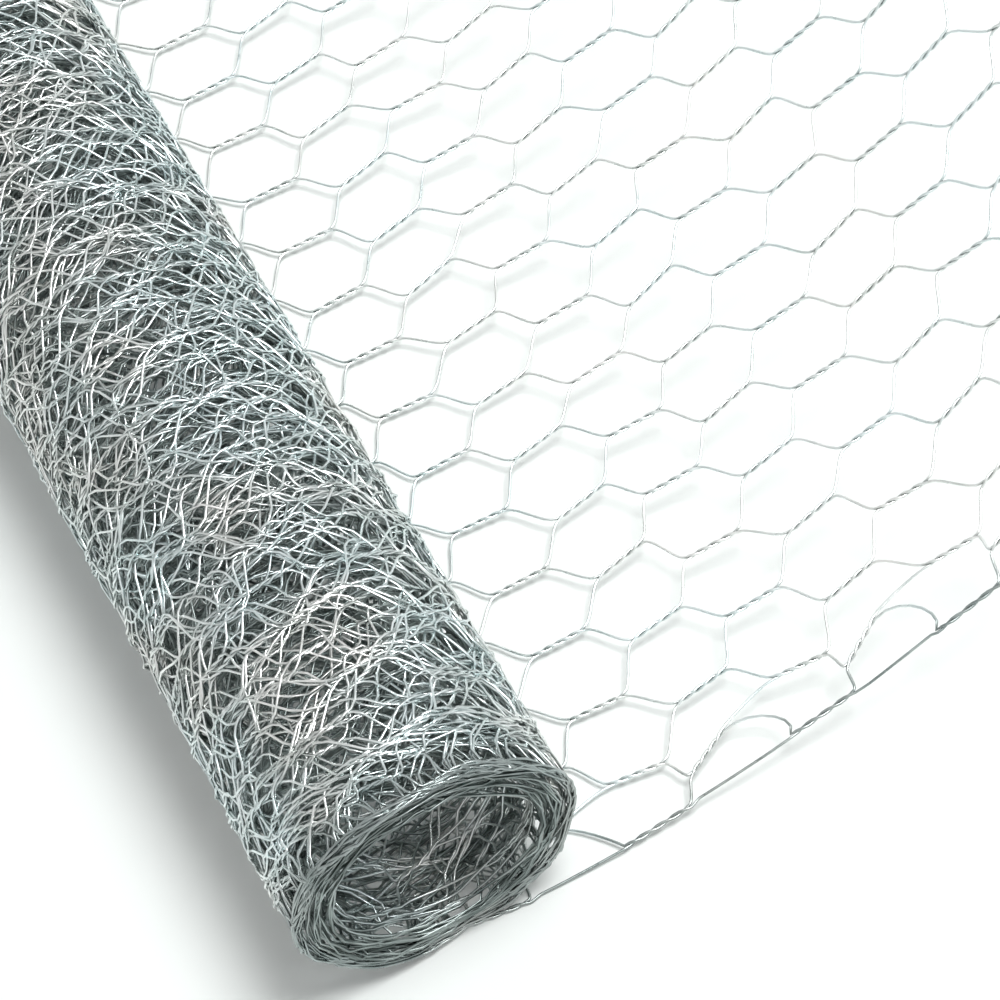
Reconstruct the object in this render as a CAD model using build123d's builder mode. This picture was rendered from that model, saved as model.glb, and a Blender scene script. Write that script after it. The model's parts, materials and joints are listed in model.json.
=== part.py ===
from build123d import *
import math
import os

# Roll of galvanised hexagonal wire netting, with its free end unrolled along the floor.
# Millimetres. The bore's axis is the Y axis, with the origin at the roll's mid-length. The free
# end leaves the roll underneath, towards +X, and +Z is up.

# Netting
netting_width = 600.0
mesh = 25.0
cell_pitch = 56.3
twist_length = 17.5
wire_d = 0.9

# Selvedge: its own twists are longer, and the first two rows of twists lie closer to it
selvedge_twist_length = 24.0
arch_row = 10.0
first_full_row = 18.75

# Wound roll
bore_r = 30.0
wound_depth = 16.0
end_ridges = 9
ridge_height = 0.8

# Free end
free_strips = 6
flat_start = 15.9
curl_linear = 5.35
curl_quadratic = 0.33

roll_r = bore_r + wound_depth

os.makedirs("parts", exist_ok=True)


def end_ridge(number, end):
    """One ring of the wound turns on an end face, as two slopes that meet in a crest.

    end is -1 or 1, and the crest stands at that end's half width of the netting.
    """
    ridge_width = wound_depth / end_ridges
    inner = bore_r + number * ridge_width
    root = end * (netting_width / 2 - ridge_height)
    crest = end * netting_width / 2
    Polyline((inner, root), (inner + ridge_width / 2, crest), (inner + ridge_width, root))


# The wound netting is one turned solid. Each end face is a set of rings, where the edges of the
# turns lie side by side, and the hole that the netting was wound round runs right through.
with BuildPart() as wound_roll:
    with BuildSketch(Plane.XY):
        with BuildLine():
            side_y = netting_width / 2 - ridge_height
            for ring in range(end_ridges):
                end_ridge(ring, -1)
                end_ridge(ring, 1)
            Line((bore_r, -side_y), (bore_r, side_y))
            Line((roll_r, -side_y), (roll_r, side_y))
        make_face()
    revolve(axis=Axis.Y)

wound_roll.part.label = "wound_roll"
export_step(wound_roll.part, "parts/wound_roll.step")

# The rows of twists across the netting, from the near selvedge to the far one. Neighbouring
# rows are half a cell apart along the netting. Two wires lie side by side in each twist.
edge_y = netting_width / 2
full_rows = round((netting_width - 2 * first_full_row) / (mesh / 2))
row_pitch = (netting_width - 2 * first_full_row) / full_rows
row_y = [-edge_y + wire_d, -edge_y + arch_row]
row_y += [-edge_y + first_full_row + number * row_pitch for number in range(full_rows + 1)]
row_y += [edge_y - arch_row, edge_y - wire_d]
last_row = len(row_y) - 1


def half_twist(row):
    """Half the length of the twists in one row."""
    return (selvedge_twist_length if row in (0, last_row) else twist_length) / 2


def inset(outline, distance):
    """An anticlockwise outline with each side moved inwards by the same distance.

    A corner moves by distance (n1 + n2) / (1 + n1 . n2), where n1 and n2 are the inward unit
    normals of the two sides that meet there.
    """
    corners = [Vector(*point) for point in outline]
    moved = []
    for index, corner in enumerate(corners):
        before = (corner - corners[index - 1]).normalized()
        after = (corners[(index + 1) % len(corners)] - corner).normalized()
        normal_before = Vector(-before.Y, before.X)
        normal_after = Vector(-after.Y, after.X)
        shift = (normal_before + normal_after) / (1 + normal_before.dot(normal_after))
        moved.append(corner + shift * distance)
    return [(point.X, point.Y) for point in moved]


def cell_window(row):
    """The opening of one cell that is centred on a row, between the faces of its wires.

    The cell's outline runs along the centres of the wires that border it: a twist above, a
    twist below, and four single wires that meet at the ends of its own row's twists. A cell on
    a selvedge is half of that, closed by the selvedge wire.
    """
    half_wire = wire_d / 2
    tip = cell_pitch / 2 - half_twist(row)
    if row == 0:
        above = row_y[1] - row_y[0] - half_wire
        side = half_twist(1)
        outline = [(tip, half_wire), (side, above), (-side, above), (-tip, half_wire)]
    elif row == last_row:
        below = row_y[row] - row_y[row - 1] - half_wire
        side = half_twist(row - 1)
        outline = [(-tip, -half_wire), (-side, -below), (side, -below), (tip, -half_wire)]
    else:
        above = row_y[row + 1] - row_y[row] - half_wire
        below = row_y[row] - row_y[row - 1] - half_wire
        upper, lower = half_twist(row + 1), half_twist(row - 1)
        outline = [(tip, 0), (upper, above), (-upper, above), (-tip, 0), (-lower, -below), (lower, -below)]
    Polygon(*inset(outline, half_wire), align=None, mode=Mode.SUBTRACT)


# One cell's length of flat netting. Its ends are cut through the middle of a column of twists.
with BuildSketch() as netting_strip:
    Rectangle(cell_pitch, netting_width)
    for row, y in enumerate(row_y):
        columns = (0,) if row % 2 else (-cell_pitch / 2, cell_pitch / 2)
        with Locations(*[(x, y) for x in columns]):
            cell_window(row)


def strip_slope(number):
    """Slope of one strip in radians: curl_linear n + curl_quadratic n squared, in degrees."""
    return math.radians(curl_linear * number + curl_quadratic * number**2)


def strip_plane(number):
    """The plane of one strip's upper face, at the strip's middle, with X along the netting.

    Each strip starts at the upper edge of the one before it and is steeper by its share of the
    curl, so the free end lies flat as it leaves the roll and then rises.
    """
    x, z = -flat_start, -roll_r
    for earlier in range(number):
        x += cell_pitch * math.cos(strip_slope(earlier))
        z += cell_pitch * math.sin(strip_slope(earlier))
    slope = strip_slope(number)
    x += cell_pitch / 2 * math.cos(slope)
    z += cell_pitch / 2 * math.sin(slope)
    return Plane(
        origin=(x, 0, z),
        x_dir=(math.cos(slope), 0, math.sin(slope)),
        z_dir=(-math.sin(slope), 0, math.cos(slope)),
    )


# The free end is a run of these strips. They meet in the middle of a column of twists, so only
# wires that run along the netting cross from one strip to the next.
for strip in range(free_strips):
    with BuildPart() as free_end:
        with BuildSketch(strip_plane(strip)):
            add(netting_strip.sketch)
        extrude(amount=-wire_d)
    name = f"free_end_{strip + 1}"
    free_end.part.label = name
    export_step(free_end.part, f"parts/{name}.step")
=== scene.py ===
# %% [markdown]
# # Chicken wire: a roll of hexagonal netting with its end unrolled
#
# The real object is one length of galvanised netting. A machine twists pairs of thin iron wires
# round each other, shifts every wire by one place, and twists it with its other neighbour. That
# leaves six-sided openings. The finished netting is dipped in zinc and wound up on itself.
#
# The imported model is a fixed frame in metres: a solid roll and six flat strips. It gives the main
# sizes. The netting itself is made new in this script, wire by wire, because on a real roll the
# eye looks through one turn at the next.

# %% Load the fixed frame
import bpy
import json
import math
import numpy as np
from mathutils import Matrix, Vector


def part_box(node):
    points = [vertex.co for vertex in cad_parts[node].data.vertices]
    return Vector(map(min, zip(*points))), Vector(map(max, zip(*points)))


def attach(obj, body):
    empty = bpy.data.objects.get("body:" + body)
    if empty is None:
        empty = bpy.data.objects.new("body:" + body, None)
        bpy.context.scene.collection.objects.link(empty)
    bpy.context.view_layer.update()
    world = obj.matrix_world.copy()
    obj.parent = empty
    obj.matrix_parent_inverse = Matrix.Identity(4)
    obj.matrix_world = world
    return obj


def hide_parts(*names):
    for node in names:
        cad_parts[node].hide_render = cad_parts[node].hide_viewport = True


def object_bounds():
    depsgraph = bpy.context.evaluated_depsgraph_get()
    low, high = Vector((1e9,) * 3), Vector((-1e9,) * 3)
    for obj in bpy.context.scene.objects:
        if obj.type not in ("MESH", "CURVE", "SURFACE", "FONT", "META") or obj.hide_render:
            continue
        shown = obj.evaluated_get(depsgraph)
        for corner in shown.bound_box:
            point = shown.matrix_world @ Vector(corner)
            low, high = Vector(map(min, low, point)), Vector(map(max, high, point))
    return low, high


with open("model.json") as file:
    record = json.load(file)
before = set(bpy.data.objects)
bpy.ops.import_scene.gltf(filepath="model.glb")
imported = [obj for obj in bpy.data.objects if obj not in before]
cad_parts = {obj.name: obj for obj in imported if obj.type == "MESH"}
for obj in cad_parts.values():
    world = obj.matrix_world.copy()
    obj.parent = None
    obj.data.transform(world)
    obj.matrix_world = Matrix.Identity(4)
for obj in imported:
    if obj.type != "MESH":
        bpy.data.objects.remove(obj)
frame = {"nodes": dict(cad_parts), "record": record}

cad_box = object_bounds()
print("CAD box", cad_box)

# %% [markdown]
# ## Sizes
#
# The frame's boxes give the netting's width, the roll's radius, the wire and the cell's length.
# The rest are the netting's own facts, in millimetres turned to metres: a twist is 17.5 mm long,
# and the selvedge, which is the finished edge, has longer twists and a row of small arches. All
# could be typed in, but sizes that are read from the frame can't drift away from the solids.
#
# The free end rises as it leaves the roll. After n strips of the frame its slope in degrees is
# curl_linear times n plus curl_quadratic times n squared.

# %% Read the sizes from the frame
MM = 0.001
roll_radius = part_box("wound_roll")[1].x
strip_low, strip_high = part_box("free_end_1")
strip_count = sum(name.startswith("free_end_") for name in frame["nodes"])
half_width = strip_high.y
wire_radius = (strip_high.z - strip_low.z) / 2
flat_start = -strip_low.x
column_pitch = (strip_high.x - strip_low.x) / 2
bore_radius = frame["record"]["mounts"][0]["dims"]["r_mm"] * MM
floor_height = cad_box[0].z
twist_length = 17.5 * MM
selvedge_twist_length = 22.5 * MM
arch_twist_length = 16.3 * MM
arch_row = 12.5 * MM
first_full_row = 18.75 * MM
row_pitch = 12.5 * MM
curl_linear = 5.35
curl_quadratic = 0.33
print("roll radius", roll_radius, "half width", half_width, "column pitch", column_pitch)

# %% [markdown]
# ## Where a point of the netting lies
#
# Think of the netting as a flat strip with two measures: s runs along it, from the line where it
# leaves the roll, and y runs across it. Behind that line it is wound into a spiral, and in front
# of it lies on the floor and then curls up a little, because netting remembers its roll.
#
# One function carries any such point into the room. Every wire can then be drawn flat, and the
# function winds it up. Bending finished meshes with modifiers would give the same, but slower.
# Some eight metres of netting make about thirty turns in the wall of this roll. Winding lets the
# cells shorten again by a tenth, so that no turn is a whole number of them long and the cells of
# one turn never lie on those of the next.

# %% Measure the spiral and the slope of the free end
netting_length = 7700 * MM
wound_share = 0.9
settling = 1.3 * MM
settling_length = 30 * MM
packing_power = 1.45
rounding = 0.2 * MM
turns_length = netting_length * wound_share
inner_radius = bore_radius + wire_radius
outer_radius = roll_radius - settling
turn_gap = math.pi * (outer_radius**2 - inner_radius**2) / turns_length

# A table with a row every half millimetre gives the free end's slope and how far it has got.
table_s = np.linspace(0, 360 * MM, 721)
strips_along = np.maximum(0, (table_s + flat_start) / (2 * column_pitch) - 0.5)
table_slope = np.radians(curl_linear * strips_along + curl_quadratic * strips_along**2)
table_step = table_s[1] - table_s[0]
table_x = np.concatenate([[0], np.cumsum(np.cos(table_slope[1:]) * table_step)])
table_z = np.concatenate([[0], np.cumsum(np.sin(table_slope[1:]) * table_step)])
print("turns", (outer_radius - inner_radius) / turn_gap, "gap a turn", turn_gap)


# %% Wind a flat point into place
def netting_point(s, y, lift, wave):
    """Room position and outward direction of points of the netting.

    Behind s = 0 the netting is a spiral whose radius falls by turn_gap a turn. The length L of
    its outer part up to the angle a is a (R - turn_gap a / 4 pi), which is solved for a. In
    front of s = 0 it follows the table's slope. The first few centimetres of the roll still lean
    on the floor, and then the netting settles on the turns below.

    The outer turns are pressed together more than the inner ones, so the depth under the roll's
    surface, as a share of the wall, is raised to packing_power. wave is how far this turn stands
    out between its neighbours. The depth d then becomes the root of d squared plus rounding
    squared, so no turn leaves the roll: several share its surface instead, and the same holds at
    the bore. lift moves a point outwards from the roll's axis, which on the free end is towards
    the floor.
    """
    wound = np.maximum(-s, 0)
    left = np.sqrt(np.maximum(outer_radius**2 - turn_gap * wound / math.pi, 0))
    angle = (outer_radius - left) * 2 * math.pi / turn_gap
    loose = settling * np.exp(-wound / settling_length)
    wall = outer_radius - inner_radius
    share = np.clip(turn_gap * angle / (2 * math.pi) / wall, 0, 1)
    depth = np.sqrt((wall * share**packing_power - wave) ** 2 + rounding**2)
    above_bore = outer_radius - depth - inner_radius
    radius = inner_radius + np.sqrt(above_bore**2 + rounding**2) + loose + lift
    slope = np.interp(s, table_s, table_slope)
    free_x = np.interp(s, table_s, table_x) + np.sin(slope) * lift
    free_z = np.interp(s, table_s, table_z) - roll_radius - np.cos(slope) * lift
    on_roll = s < 0
    x = np.where(on_roll, -radius * np.sin(angle), free_x)
    z = np.where(on_roll, -radius * np.cos(angle), free_z)
    out_x = np.where(on_roll, -np.sin(angle), np.sin(slope))
    out_z = np.where(on_roll, -np.cos(angle), -np.cos(slope))
    return np.stack([x, y, z], -1), np.stack([out_x, np.zeros_like(y), out_z], -1)


outermost = netting_point(np.array([-settling_length]), np.zeros(1), 0, 0)[0]
print("the netting after its first centimetres on the roll", outermost.round(4))

# %% [markdown]
# ## Rows and columns
#
# The twists sit in rows across the netting and columns along it, like bricks: row and column
# numbers that add up to an odd number have a twist. Near each edge the rows stand closer. One
# cell could be copied over and over instead, but every wire would be cut at the cell's borders.
#
# The columns are counted from the line where the netting leaves the roll, and those of the roll
# are below zero. About eleven make one of the outer turns, and eight the innermost one.

# %% Count the rows and the columns
full_rows = round((half_width - first_full_row) * 2 / row_pitch)
full_y = np.linspace(first_full_row - half_width, half_width - first_full_row, full_rows + 1)
edge_y = half_width - 2 * wire_radius
row_y = np.concatenate([[-edge_y, arch_row - half_width], full_y, [half_width - arch_row, edge_y]])
last_row = len(row_y) - 1
selvedge_rows = [0, last_row]
arch_rows = [1, last_row - 1]
first_column = -math.floor((netting_length - flat_start) / column_pitch)
last_column = 2 * strip_count
innermost_end = first_column + 8
bore_end = first_column + 27
columns = np.arange(first_column, last_column + 1)
print("rows", len(row_y), "columns", len(columns))

# %% [markdown]
# ## A little disorder in the twists
#
# No real netting is regular. Handling moves each twist a little, and rolling it up moves it
# more, so a seeded table gives each its own small shift, and the same one in every run. A random
# colour or bump on a perfect mesh would be quicker, but the eye finds the regular cells at once.
#
# The turns round the bore are disturbed less, because nothing rubs on them. Twists lean by turns
# to one side and the other. Those of the arches lean most, and along one edge all the same way.

# %% Give each twist its place
handling_on_roll = 2.6
handling_near_edges = 1.4
shift_along = 0.8 * MM
shift_across = 0.45 * MM
selvedge_back = 4.0 * MM
arch_back = 9.2 * MM
shape = (len(columns), len(row_y))
random = np.random.default_rng(11)
handling = np.where(columns < 0, handling_on_roll, 1.0)[:, None] * np.ones(shape)
handling[:, selvedge_rows + arch_rows] = handling_near_edges
handling[: bore_end - first_column] = 1.0
nudge_s = random.normal(0, shift_along, shape) * handling
nudge_y = random.normal(0, shift_across, shape) * handling
row_shift = np.zeros(len(row_y))
row_shift[selvedge_rows] = -selvedge_back
row_shift[arch_rows] = -arch_back
row_length = np.full(len(row_y), twist_length)
row_length[selvedge_rows] = selvedge_twist_length
row_length[arch_rows] = arch_twist_length
twist_s = columns[:, None] * column_pitch - flat_start + row_shift + nudge_s
twist_y = row_y + nudge_y
print("a twist is moved by up to", np.abs(nudge_s).max(), "along and", np.abs(nudge_y).max())

# %% Lean each twist, and hook each arch
lean_by_chance = 2.5
column_lean = 4.5
arch_lean = 20
next_row_lean = 6
selvedge_steadiness = 0.4
nudge_tilt = random.normal(0, lean_by_chance, shape) * handling**0.5
twist_tilt = np.where(columns[:, None] % 2 == 0, column_lean, -column_lean) + nudge_tilt
twist_tilt[:, 1] = arch_lean + nudge_tilt[:, 1]
twist_tilt[:, 2] -= next_row_lean
twist_tilt[:, last_row - 1] = -arch_lean + nudge_tilt[:, last_row - 1]
twist_tilt[:, selvedge_rows] = nudge_tilt[:, selvedge_rows] * selvedge_steadiness
arch_hook = random.uniform(0.5, 1.1, len(columns))

# On the free end one arch is nearly plain, and one leans more than the rest.
plain_arch = 2
leaning_arch = 6
arch_hook[plain_arch - first_column] = 0.1
twist_tilt[leaning_arch - first_column, 1] += 8
print("lean in degrees, from", twist_tilt.min().round(1), "to", twist_tilt.max().round(1))

# %% [markdown]
# ## The path of one wire
#
# A wire passes through one twist in every column, by turns with the neighbour above it and the
# neighbour below it. In a twist it is a helix round its partner. Between twists it is a single
# wire, drawn as a cubic curve that leaves one twist and enters the next along their own lines.
# Blender's own curve objects could carry these paths, but an array holds all of them at once and
# can be wound up in one go.
#
# The two edge wires of the netting run nearly straight. They are twisted only with the first
# and the last wire of the mesh, at every second column. Beside each of those twists the mesh wire
# makes a small arch, which leaves its twist steeply and comes back to the edge in a hook.

# %% Find the row of each wire in each column
# The wires of the mesh are numbered from zero. The edge wires are number -1 and the last.
wires = np.arange(-1, last_row + 1)


def rows_of_wires(cols):
    """The row of each wire's twist in each column, and whether it is the upper wire there.

    Where a wire's number and the column's add up to an odd number, it is the upper wire of the
    row with its own number, and elsewhere the lower wire of the next. An edge wire keeps its row.
    """
    wire = np.clip(wires, 0, last_row - 1)[:, None]
    near_edge = (wires == -1)[:, None]
    far_edge = (wires == last_row)[:, None]
    upper = (cols + wire) % 2 == 1
    row = np.where(upper, wire, wire + 1)
    row = np.where(near_edge, 0, np.where(far_edge, last_row, row))
    upper = np.where(near_edge, False, np.where(far_edge, True, upper))
    return row, upper


print("wires", len(wires), "rows of one wire", rows_of_wires(np.arange(4))[0][6])

# %% Twist the wires
touching = 1.02


def twist_helix(cols, row, upper, steps, turns):
    """Points, lift and lean of all wires in their twists, and the directions of the twists.

    The point is the twist's line plus the wire's radius times (cos a, sin a), across the netting
    and outwards, where a grows by that many full turns, the other way round in every second
    column. lean is (cos a, sin a), the way from the twist's line to the wire.
    """
    at = cols - first_column
    paired = (cols + row) % 2 == 1
    tilt = np.radians(twist_tilt[at, row])
    half = row_length[row] / 2
    along = np.stack([np.cos(tilt), np.sin(tilt)], -1)
    centre = np.stack([twist_s[at, row], twist_y[at, row]], -1)
    u = np.linspace(0, 1, steps + 1)
    hand = np.where(cols % 2 == 0, 1, -1)[:, None]
    side = np.where(upper, 1, -1)[..., None]
    turn = 2 * math.pi * turns * u * hand
    reach = wire_radius * touching * paired[..., None]
    from_centre = (2 * u - 1)[:, None] * half[..., None, None]
    axis_point = centre[..., None, :] + along[..., None, :] * from_centre
    across = np.stack([-along[..., 1], along[..., 0]], -1)[..., None, :]
    line = axis_point + across * (side * reach * np.cos(turn))[..., None]
    lift = side * reach * np.sin(turn)
    lean = np.stack([side * np.cos(turn), side * np.sin(turn)], -1) * paired[..., None, None]
    return line, lift, lean, along


print("a twist is", round(4 * wire_radius * touching / MM, 2), "mm wide")

# %% Lead each wire to its next twist
run_pull = 0.62


def runs_between(cols, row, twist_line, along, steps):
    """Points of all wires between their twists, on Hermite's cubic curves.

    Each end's point and its direction are weighted by the four cubic weights of the share v of
    the run. A direction is as long as run_pull times the run. In an arch the two directions are
    given in millimetres, along the netting and across it, plus so much times the arch's hook.
    """
    v = np.linspace(0, 1, steps + 1)[1:-1, None]
    start = twist_line[:, :-1, -1:]
    end = twist_line[:, 1:, :1]
    span = np.linalg.norm(end - start, axis=-1, keepdims=True)
    leave = along[:, :-1, None] * span * run_pull
    enter = along[:, 1:, None] * span * run_pull
    arch_near = (row[:, :-1] == 1) & (row[:, 1:] == 0)
    arch_far = (row[:, :-1] == last_row - 1) & (row[:, 1:] == last_row)
    hook = np.broadcast_to(arch_hook[cols[:-1] - first_column], arch_near.shape)
    for arch, way in ((arch_near, 1), (arch_far, -1)):
        bent = hook[arch][:, None, None]
        leave[arch] = (np.array([8, 4 * way]) + bent * np.array([19, 4 * way])) * MM
        enter[arch] = (np.array([10, -12 * way]) + bent * np.array([-26, 0])) * MM
    return (
        (2 * v**3 - 3 * v**2 + 1) * start
        + (v**3 - 2 * v**2 + v) * leave
        + (3 * v**2 - 2 * v**3) * end
        + (v**3 - v**2) * enter
    )


print("arches on the free end", (last_column + 1) // 2, "along each edge")

# %% Draw every wire flat
def wire_paths(first, last, twist_steps, run_steps, twist_turns):
    """Points s, y and lift of all wires from the twists of one column to another's, and lean.

    Each wire's twists and runs follow each other in one line. The last column's run only fills
    its place. The netting is cut through the middle of the first and last column of twists.
    """
    cols = np.arange(first, last + 1)
    row, upper = rows_of_wires(cols)
    twist_line, twist_lift, lean, along = twist_helix(cols, row, upper, twist_steps, twist_turns)
    run_line = runs_between(cols, row, twist_line, along, run_steps)
    run_line = np.concatenate([run_line, run_line[:, -1:]], axis=1)
    run_lift = np.zeros(run_line.shape[:-1])
    line = np.concatenate([twist_line, run_line], axis=2).reshape(len(wires), -1, 2)
    lift = np.concatenate([twist_lift, run_lift], axis=2).reshape(len(wires), -1)
    lean = np.concatenate([lean, np.zeros(run_line.shape)], axis=2).reshape(len(wires), -1, 2)
    cut = twist_steps // 2
    stop = (len(cols) - 1) * (twist_steps + run_steps) + twist_steps - cut + 1
    return line[:, cut:stop, 0], line[:, cut:stop, 1], lift[:, cut:stop], lean[:, cut:stop]


sample = wire_paths(0, last_column, 12, 7, 2)
print("points on each wire of the free end", sample[0].shape[1])

# %% [markdown]
# ## How winding disturbs the netting
#
# Turns of a real roll never lie cell on cell. The netting stretches and shears as it is wound,
# so slow waves shift it along and across the roll. Shorter ones press it in between the turns
# beside it, so that the surface is a patchwork of several turns, and make the rim uneven. A
# simulation of the winding could find all that, but waves with seeded phases look much the same.
#
# Beside the roll, the near edge of the free end sags outwards by a few millimetres and comes
# back. The near edges of the inner turns are pushed in, so that the mouth of the bore is a short
# funnel.

# %% Disturb the netting
# Each has a seed, a height, and the lengths of its waves in metres, along and across the netting.
stretch_waves = (2, 16 * MM, [(0.83, 0.55), (0.61, 0.8), (0.47, 0.37)])
shear_waves = (4, 8 * MM, [(0.53, 0.24), (0.37, 0.17), (0.71, 0.4)])
rim_waves = (5, 2.3 * MM, [(0.39, 0.9), (0.17, 0.7), (0.11, 0.8), (0.06, 0.9)])
press_waves = (3, 2.6 * MM, [(0.083, 0.21), (0.047, 0.13), (0.131, 0.34), (0.028, 0.09)])
slower_across = 0.2
press_at_edges = 0.7
gripped_length = 90 * MM
sag_depth = 5 * MM
sag_start = 25 * MM
sag_return = 0.035
sag_reach = 60 * MM
funnel_depth = 7 * MM
funnel_length = 800 * MM
funnel_reach = 70 * MM


def smooth_disorder(s, y, seed, height, lengths):
    """A smooth wave over the netting: a sum of sines of s and y with seeded phases."""
    phases = np.random.default_rng(seed).uniform(0, 2 * math.pi, (len(lengths), 2))
    total = 0
    for (length_s, length_y), (phase_s, phase_y) in zip(lengths, phases):
        wave = np.sin(s * 2 * math.pi / length_s + phase_s + y * 3 / length_y)
        total = total + wave * np.cos(y * 2 * math.pi / length_y + phase_y)
    return total * height / math.sqrt(len(lengths))


def disturbed(s, y):
    """Moved s and y of points of the netting, and the wave by which they stand out.

    The waves fade in over gripped_length behind the line where the netting leaves the roll. inside
    is one minus the eighth power of the share of the way to an edge, so it falls only near the
    edges. The sag grows to sag_depth over a few times sag_start and then comes back by sag_return
    a metre. It and the funnel fade with the distance from the near edge.
    """
    on_roll = np.clip(-s / gripped_length, 0, 1)
    inside = 1 - (y / half_width) ** 8
    stretch = smooth_disorder(s, y, *stretch_waves)
    shear = smooth_disorder(s, y, *shear_waves) * inside
    rim = smooth_disorder(s, y * slower_across, *rim_waves)
    pressed = press_at_edges + (1 - press_at_edges) * inside
    wave = smooth_disorder(s, y, *press_waves) * pressed * on_roll
    wound_s = np.where(s < 0, s * wound_share, s) + stretch * on_roll
    from_near_edge = y + half_width
    ahead_s = np.maximum(s, 0)
    sag = sag_return * ahead_s - sag_depth * (1 - np.exp(-ahead_s / sag_start))
    sag *= np.exp(-from_near_edge / sag_reach)
    funnel = np.clip((-s - netting_length) / funnel_length + 1, 0, 1) * funnel_depth
    funnel *= np.exp(-from_near_edge / funnel_reach)
    return wound_s, y + (shear + rim) * on_roll + sag + funnel, wave


sample_s = np.linspace(-netting_length, -gripped_length, 2000)
print("a turn stands out by up to", disturbed(sample_s, np.zeros(2000))[2].max().round(5))

# %% [markdown]
# ## From a path to a wire
#
# A wire is a circle carried along its path. The circle stands across the path, and one of its
# two directions is the netting's outward direction, so that the wire never turns on itself. The
# circles of all wires are one array of points, and one array of triangles joins them. A curve
# object with a bevel would do it too, but it couldn't carry the value that comes next.
#
# The wire is thin in the picture, so six sides are enough on the free end, four on the turns that
# show and three on those between them.
#
# A value on each point says how far it faces the other wire of its twist, where flux stays and
# shade falls. The zinc paints that side darker: flux and painted shade in one.

# %% Carry a circle along each path
def tube_points(path, out, angles):
    """A ring of points round each point of each path.

    A ring's point is the path plus the wire's radius times (cos a N + sin a B). B is across
    the path and the netting's outward direction, and N is across the path and B.
    """
    ahead = np.gradient(path, axis=1)
    ahead /= np.linalg.norm(ahead, axis=-1, keepdims=True)
    side = np.cross(ahead, out)
    side /= np.linalg.norm(side, axis=-1, keepdims=True)
    up = np.cross(side, ahead)
    ring = up[:, :, None] * np.cos(angles)[:, None] + side[:, :, None] * np.sin(angles)[:, None]
    return path[:, :, None] + ring * wire_radius


def tube_triangles(count, steps, sides):
    """Corners of the triangles of closed tubes: count tubes of steps rings with sides points.

    Each quad between two rings is two triangles, and a fan of triangles closes each end.
    """
    index = np.arange(count * steps * sides).reshape(count, steps, sides)
    around = np.roll(index, -1, axis=2)
    first_half = np.stack([index[:, :-1], around[:, :-1], around[:, 1:]], -1)
    second_half = np.stack([index[:, :-1], around[:, 1:], index[:, 1:]], -1)
    corners = np.arange(1, sides - 1)
    fan = np.stack([np.zeros_like(corners), corners, corners + 1], -1)
    caps = [index[:, -1][:, fan], index[:, 0][:, fan[:, ::-1]]]
    return np.concatenate([part.reshape(-1, 3) for part in [first_half, second_half] + caps])


print("triangles of one short tube", len(tube_triangles(1, 2, 6)))

# %% Make a piece of all wires between two columns
def wire_mesh(name, first, last, twist_steps, run_steps, twist_turns, sides):
    """All wires between two columns as closed tubes, with a value for each point.

    The value is minus the cosine of the angle between the point and lean, and at least zero: one
    where the point faces the other wire of the twist.
    """
    s, y, lift, lean = wire_paths(first, last, twist_steps, run_steps, twist_turns)
    wound_s, placed_y, wave = disturbed(s, y)
    path, out = netting_point(wound_s, placed_y, lift, wave)
    angles = (np.arange(sides) + 0.5) * 2 * math.pi / sides
    points = tube_points(path, out, angles)
    triangles = tube_triangles(*s.shape, sides)
    mesh = bpy.data.meshes.new(name)
    mesh.vertices.add(points.size // 3)
    mesh.vertices.foreach_set("co", points.astype(np.float32).ravel())
    mesh.loops.add(triangles.size)
    mesh.loops.foreach_set("vertex_index", triangles.astype(np.int32).ravel())
    mesh.polygons.add(len(triangles))
    mesh.polygons.foreach_set("loop_start", np.arange(0, triangles.size, 3, dtype=np.int32))
    mesh.update(calc_edges=True)
    mesh.shade_smooth()
    # This value marks where the zinc gets flux and painted shade: the sides of twisted wires that
    # face each other.
    faces_partner = -(lean[..., :1] * np.sin(angles) + lean[..., 1:] * np.cos(angles))
    flux_and_crevice_shade = mesh.attributes.new("flux_and_crevice_shade", "FLOAT", "POINT")
    flux_and_crevice_shade.data.foreach_set("value", np.clip(faces_partner, 0, 1).astype(np.float32).ravel())
    piece = bpy.data.objects.new(name, mesh)
    bpy.context.collection.objects.link(piece)
    print(name, "triangles", len(triangles))
    return piece


# %% [markdown]
# ## The pieces
#
# The free end and the outer and inner turns are seen closely, so their twists are full helices.
# The turns between them show only through the openings. They keep every wire, but with fewer
# points, or the model would be several times as heavy.

# %% Make the free end and the turns
# The columns where one run of turns ends and the next begins, from the outside inwards
outer_end = -39
under_end = -87
deeper_end = -135
hidden_middle = -190

# Name, first and last column, steps of a twist and of a run, turns in a twist, sides of the wire
free_end = wire_mesh("free_end_netting", 0, last_column, 12, 7, 2, 6)
turns = [
    wire_mesh("turns_outer", outer_end, 0, 8, 4, 2, 4),
    wire_mesh("turns_under_outer", under_end, outer_end, 6, 3, 2, 3),
    wire_mesh("turns_deeper", deeper_end, under_end, 4, 3, 1, 3),
    wire_mesh("turns_hidden_1", hidden_middle, deeper_end, 2, 3, 1, 3),
    wire_mesh("turns_hidden_2", bore_end, hidden_middle, 2, 3, 1, 3),
    wire_mesh("turns_round_bore", innermost_end, bore_end, 4, 3, 1, 4),
    wire_mesh("turn_innermost", first_column, innermost_end, 8, 4, 2, 4),
]

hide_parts(*[f"free_end_{number + 1}" for number in range(strip_count)])
for piece in turns:
    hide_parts("wound_roll")
for piece in [free_end] + turns:
    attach(piece, "root")
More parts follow.
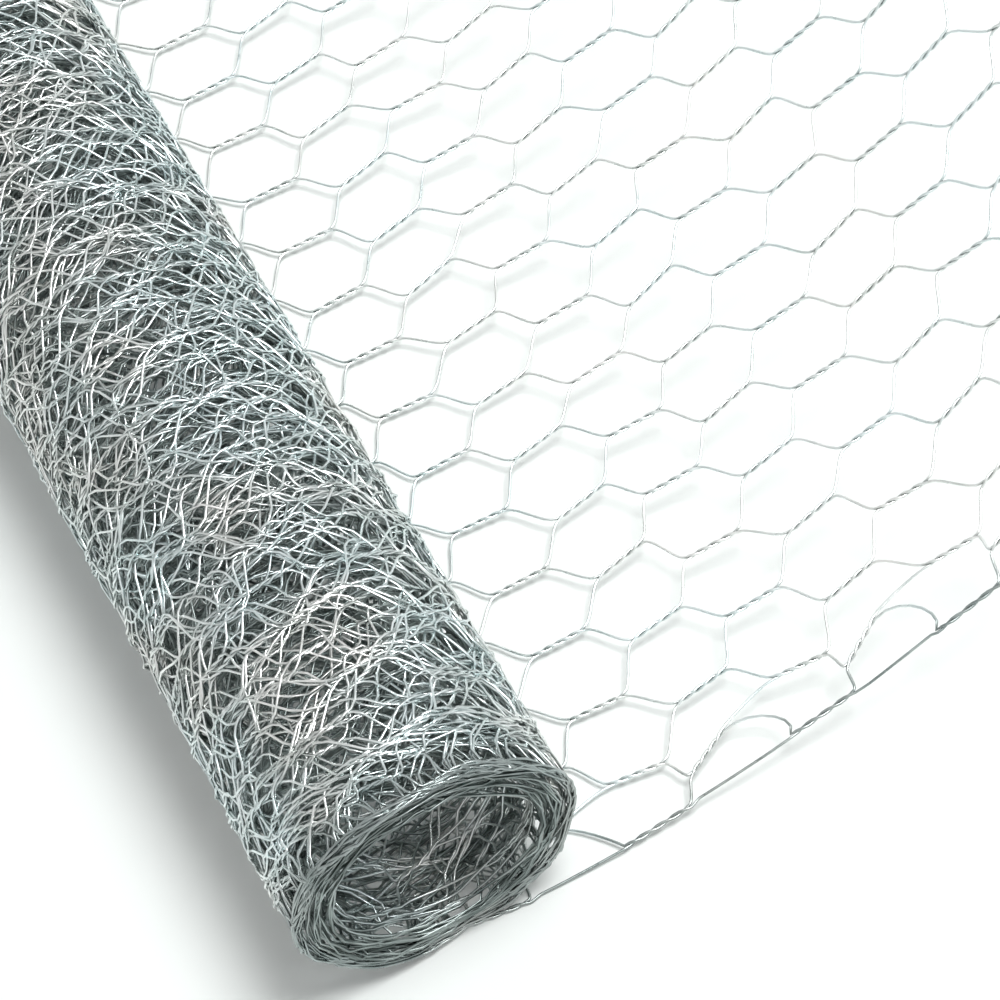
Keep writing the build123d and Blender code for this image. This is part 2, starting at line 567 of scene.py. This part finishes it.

# %% [markdown]
# ## Hot-dip galvanised wire
#
# The netting is drawn iron wire under a coat of zinc. Fresh zinc is a pale bluish grey metal. It
# dulls in patches as it weathers, warmer here and bluer there, and the dip leaves small lumps
# along the wire. A plain grey metal would do from far away, but up close it looks like plastic.
# So a noise makes the dullness, a wider one the tint, and a fine bump the lumps, which are drawn
# a little coarser than they are, so that they show. The noises read Object coordinates, which are
# metres, so each scale is one over a real size.
#
# Where two wires are twisted together, the zinc bath leaves flux between them, and shade falls
# there. The value that each point carries for that mixes in a dull dark grey, flux and painted
# shade in one, which makes every twist look like a small rope. The edges of the netting, which
# hands and shop floors touch, are darkened in the same way: handling dirt, and painted shade on
# the roll's end faces, which get little light.

# %% Two helpers for materials
def from_hex(text):
    """Linear colour of an sRGB hex value: a power of 2.4 above 0.04045, a thirteenth below it."""
    parts = [int(text[i:i + 2], 16) / 255 for i in (1, 3, 5)]
    return tuple(p / 12.92 if p <= 0.04045 else ((p + 0.055) / 1.055) ** 2.4 for p in parts) + (1,)


def add(tree, kind, settings=None, stops=(), **inputs):
    """Adds a node with its properties and colour stops, and sets or links its inputs.

    An input goes by its name, with _ for each space, or by i and its number.
    """
    node = tree.nodes.new(kind)
    for key, value in (settings or {}).items():
        setattr(node, key, value)
    for number, (position, colour) in enumerate(stops):
        node.color_ramp.elements[number].position = position
        node.color_ramp.elements[number].color = from_hex(colour)
    for key, value in inputs.items():
        socket = node.inputs[int(key[1:]) if key[1:].isdigit() else key.replace("_", " ")]
        if isinstance(value, bpy.types.NodeSocket):
            tree.links.new(value, socket)
        else:
            socket.default_value = value
    return node


def new_tree(owner):
    """The empty node tree of a new material or world."""
    owner.use_nodes = True
    owner.node_tree.nodes.clear()
    return owner.node_tree


print("mid grey is", from_hex("#808080"))

# %% Make the zinc
zinc = bpy.data.materials.new("hot_dip_galvanised_wire")
tree = new_tree(zinc)
place = add(tree, "ShaderNodeTexCoord").outputs["Object"]

# The clean zinc: patches of dullness, with a wider and weaker tint
patches = add(
    tree, "ShaderNodeTexNoise", Vector=place, Scale=1 / (9 * MM), Detail=3.0, Roughness=0.6
).outputs["Fac"]
fresh = add(
    tree, "ShaderNodeValToRGB", stops=[(0.32, "#E8EDEC"), (0.66, "#FFFFFF")], Fac=patches
)
weather = add(tree, "ShaderNodeTexNoise", Vector=place, Scale=1 / (45 * MM), Detail=1.0)
tint = add(
    tree,
    "ShaderNodeValToRGB",
    stops=[(0.4, "#FCFCFA"), (0.6, "#F2FBFC")],
    Fac=weather.outputs["Fac"],
)
clean = add(
    tree,
    "ShaderNodeMix",
    {"data_type": "RGBA", "blend_type": "MULTIPLY"},
    i0=1.0,
    i6=fresh.outputs["Color"],
    i7=tint.outputs["Color"],
)

# Painted shade and dirt: flux and painted shade between twisted wires, and a dark band that grows
# from 14 to 2 mm off each edge, handling dirt and painted shade on the roll's ends
flux_and_shade_grey = add(tree, "ShaderNodeValToRGB", stops=[(0.35, "#5E6765"), (0.65, "#939C9A")], Fac=patches)
# How far each point faces its partner: flux and painted shade in the twists
flux_and_crevice_shade = add(tree, "ShaderNodeAttribute", {"attribute_name": "flux_and_crevice_shade"}).outputs["Fac"]
between = add(tree, "ShaderNodeMapRange", Value=flux_and_crevice_shade, From_Min=0.05, To_Max=0.85)
across = add(tree, "ShaderNodeSeparateXYZ", Vector=place).outputs["Y"]
to_side = add(tree, "ShaderNodeMath", {"operation": "ABSOLUTE"}, i0=across).outputs[0]
# A band along the edges: painted shade on the roll's end faces, and handling dirt
edge_shade_and_wear = add(
    tree,
    "ShaderNodeMapRange",
    Value=to_side,
    From_Min=half_width - 14 * MM,
    From_Max=half_width - 2 * MM,
    To_Max=0.75,
)
# The darker of the two marks: painted shade together with flux and handling dirt
shade_and_dirt = add(
    tree,
    "ShaderNodeMath",
    {"operation": "MAXIMUM"},
    i0=between.outputs["Result"],
    i1=edge_shade_and_wear.outputs["Result"],
)
# Mixes the grey of flux and painted shade into the clean zinc
colour = add(
    tree,
    "ShaderNodeMix",
    {"data_type": "RGBA"},
    i0=shade_and_dirt.outputs[0],
    i6=clean.outputs[2],
    i7=flux_and_shade_grey.outputs["Color"],
)

# The surface: the bright patches are rougher, and small lumps lie along the wire
rough = add(tree, "ShaderNodeMapRange", Value=patches, To_Min=0.16, To_Max=0.44)
lumps = add(tree, "ShaderNodeTexNoise", Vector=place, Scale=1 / (0.8 * MM), Detail=1.0)
bump = add(
    tree, "ShaderNodeBump", Height=lumps.outputs["Fac"], Strength=0.3, Distance=0.1 * MM
)
skin = add(
    tree,
    "ShaderNodeBsdfPrincipled",
    Base_Color=colour.outputs[2],
    Metallic=1.0,
    Roughness=rough.outputs["Result"],
    Normal=bump.outputs["Normal"],
)
add(tree, "ShaderNodeOutputMaterial", Surface=skin.outputs["BSDF"])
print(zinc.name, "nodes", len(tree.nodes))

# %% [markdown]
# ## The same zinc, inside the roll
#
# Wires deep in the roll get hardly any light. Their zinc is given a darker grey than the outer
# wires', as painted shade. A plainer metal with one noise is enough there, and saves the renderer
# work on wires that show only through openings.

# %% Make the zinc with painted shade
shade_painted_zinc = bpy.data.materials.new("painted_shade_zinc_inside_the_roll")
tree = new_tree(shade_painted_zinc)
place = add(tree, "ShaderNodeTexCoord").outputs["Object"]
clouds = add(tree, "ShaderNodeTexNoise", Vector=place, Scale=1 / (12 * MM), Detail=1.0)
# A darker grey than the outer zinc: painted shade on wires that get little light
grey = add(
    tree,
    "ShaderNodeValToRGB",
    stops=[(0.35, "#7F8987"), (0.65, "#B2BCBA")],
    Fac=clouds.outputs["Fac"],
)
skin = add(
    tree,
    "ShaderNodeBsdfPrincipled",
    Base_Color=grey.outputs["Color"],
    Metallic=1.0,
    Roughness=0.4,
)
add(tree, "ShaderNodeOutputMaterial", Surface=skin.outputs["BSDF"])
# The hidden turns wear the zinc with painted shade.
for piece in [free_end] + turns:
    deep = "hidden" in piece.name
    piece.data.materials.append(shade_painted_zinc if deep else zinc)
    print(piece.name, "wears", piece.data.materials[0].name)

# %% [markdown]
# ## Floor and backdrop
#
# The photograph has a white ground with a soft grey shadow to the left of the roll. A sheet of
# white paper lies on the floor and curves up far away, as in a photographer's studio, so it is
# the background from every side. It is turned round an upright axis: a flat disc, a quarter
# circle and a low wall. A flat plane would do for this view, but from low down its edge would show.
#
# To the camera, and to what the metal mirrors, the paper adds a little light of its own, and more
# of it higher up, where less lamp light falls. So it is pale all over and still takes the shadow.

# %% Turn the paper
def cove_mesh(name, flat, bend, height):
    """A bowl turned round Z: radius and height along a disc, a quarter circle and a wall."""
    quarter = np.linspace(0, math.pi / 2, 9)
    radius = np.concatenate([[0.02, flat / 2], flat + bend * np.sin(quarter), [flat + bend]])
    rise = np.concatenate([[0, 0], bend * (1 - np.cos(quarter)), [height]])
    around = np.linspace(0, 2 * math.pi, 97)[:-1]
    x = radius[:, None] * np.cos(around)
    y = radius[:, None] * np.sin(around)
    z = np.repeat(rise[:, None] + floor_height, len(around), axis=1)
    index = np.arange(x.size).reshape(x.shape)
    turned = np.roll(index, -1, axis=1)
    quads = np.stack([index[:-1], index[1:], turned[1:], turned[:-1]], -1).reshape(-1, 4)
    mesh = bpy.data.meshes.new(name)
    faces = quads.tolist() + [index[0].tolist()]
    mesh.from_pydata(np.stack([x, y, z], -1).reshape(-1, 3).tolist(), [], faces)
    mesh.shade_smooth()
    return mesh


paper_bend = 0.8
cove = bpy.data.objects.new("paper_ground", cove_mesh("paper_ground", 3.6, paper_bend, 1.0))
bpy.context.collection.objects.link(cove)
print("faces of the paper", len(cove.data.polygons))


# %% Colour the paper
def seen_rays(tree):
    """One for rays that the camera, gloss or clear materials send out, and zero for others."""
    rays = add(tree, "ShaderNodeLightPath").outputs
    total = rays["Is Camera Ray"]
    for kind in ("Is Glossy Ray", "Is Transmission Ray"):
        either = add(tree, "ShaderNodeMath", {"operation": "MAXIMUM"}, i0=total, i1=rays[kind])
        total = either.outputs[0]
    return total


paper = bpy.data.materials.new("white_paper")
tree = new_tree(paper)
seen = seen_rays(tree)
place = add(tree, "ShaderNodeTexCoord").outputs["Object"]
height = add(tree, "ShaderNodeSeparateXYZ", Vector=place).outputs["Z"]
rise = add(
    tree,
    "ShaderNodeMapRange",
    Value=height,
    From_Min=floor_height,
    From_Max=floor_height + paper_bend,
    To_Min=0.1,
    To_Max=0.5,
)
glow = add(tree, "ShaderNodeMath", {"operation": "MULTIPLY"}, i0=seen, i1=rise.outputs["Result"])
light = add(tree, "ShaderNodeEmission", Color=(1, 1, 1, 1), Strength=glow.outputs[0])
matt = add(tree, "ShaderNodeBsdfDiffuse", Color=from_hex("#E8ECEA"))
both = add(tree, "ShaderNodeAddShader", i0=matt.outputs[0], i1=light.outputs[0])
add(tree, "ShaderNodeOutputMaterial", Surface=both.outputs[0])
cove.data.materials.append(paper)
print(paper.name, "nodes", len(tree.nodes))

# %% [markdown]
# ## Light
#
# One large soft lamp hangs nearly overhead, a little to the right, because the shadow is dark and
# close along the left of the roll. A sun would cast it the same way, but with a harder edge.
#
# The world is a weak soft light that is brighter above than at the sides, like a white ceiling:
# its strength grows with the square of a ray's upward part. The metal mirrors it as pale as the
# paper.

# %% Light the room
light_from_sides = 0.19
light_from_above = 0.49
seen_strength = 0.7
world = bpy.data.worlds.new("studio")
bpy.context.scene.world = world
tree = new_tree(world)
direction = add(tree, "ShaderNodeTexCoord").outputs["Generated"]
upward = add(tree, "ShaderNodeSeparateXYZ", Vector=direction).outputs["Z"]
above = add(tree, "ShaderNodeMath", {"operation": "MAXIMUM"}, i0=upward, i1=0.0)
squared = add(tree, "ShaderNodeMath", {"operation": "POWER"}, i0=above.outputs[0], i1=2.0)
level = add(
    tree,
    "ShaderNodeMapRange",
    Value=squared.outputs[0],
    To_Min=light_from_sides,
    To_Max=light_from_above,
)
shown = add(
    tree,
    "ShaderNodeMix",
    {"data_type": "FLOAT"},
    i0=seen_rays(tree),
    i2=level.outputs["Result"],
    i3=seen_strength,
)
sky = add(tree, "ShaderNodeBackground", Color=(1, 1, 1, 1), Strength=shown.outputs[0])
add(tree, "ShaderNodeOutputWorld", Surface=sky.outputs[0])

lamp_data = bpy.data.lights.new("soft_box", "AREA")
lamp_data.shape = "SQUARE"
lamp_data.size = 1.2
lamp_data.energy = 78
lamp = bpy.data.objects.new("soft_box", lamp_data)
lamp.location = (0.9, -0.55, 2.72)
lamp.rotation_euler = (-lamp.location).to_track_quat("-Z", "Y").to_euler()
bpy.context.collection.objects.link(lamp)
print("lamp at", tuple(round(value, 2) for value in lamp.location))

# %% [markdown]
# ## Camera
#
# The camera looks down at the near end of the roll from the left, tilted about its own axis. Its
# place and lens were fitted to the twists of the free end and to the outline of the roll. The fit
# gives three directions: the picture's right, its down, and the way that the camera looks. A
# tracking constraint could aim a camera, but not tilt it as well.

# %% Set up the camera
sensor_width = 36.0
focal_pixels = 3627.08
frame_pixels = 1000
right = (0.87561238, -0.46015866, -0.14682289)
down = (-0.46653736, -0.72700504, -0.50379219)
forward = (0.12508336, 0.50962504, -0.85125582)
camera_data = bpy.data.cameras.new("camera")
camera_data.sensor_width = sensor_width
camera_data.lens = focal_pixels / frame_pixels * sensor_width
camera_data.clip_start = 0.05
camera_data.clip_end = 30.0
camera = bpy.data.objects.new("camera", camera_data)
placing = Matrix.Identity(4)
for i in range(3):
    placing[i][0] = right[i]
    placing[i][1] = -down[i]
    placing[i][2] = -forward[i]
placing.translation = (-0.063633, -0.751347, 0.914597)
camera.matrix_world = placing
bpy.context.collection.objects.link(camera)
bpy.context.scene.camera = camera
print("lens", round(camera_data.lens, 2), "mm")

# %% [markdown]
# ## Finish
#
# The Standard view shows each colour as it is written. The netting may stand only a little out
# of the frame.

# %% Finish with the Standard view
bpy.context.scene.view_settings.view_transform = "Standard"
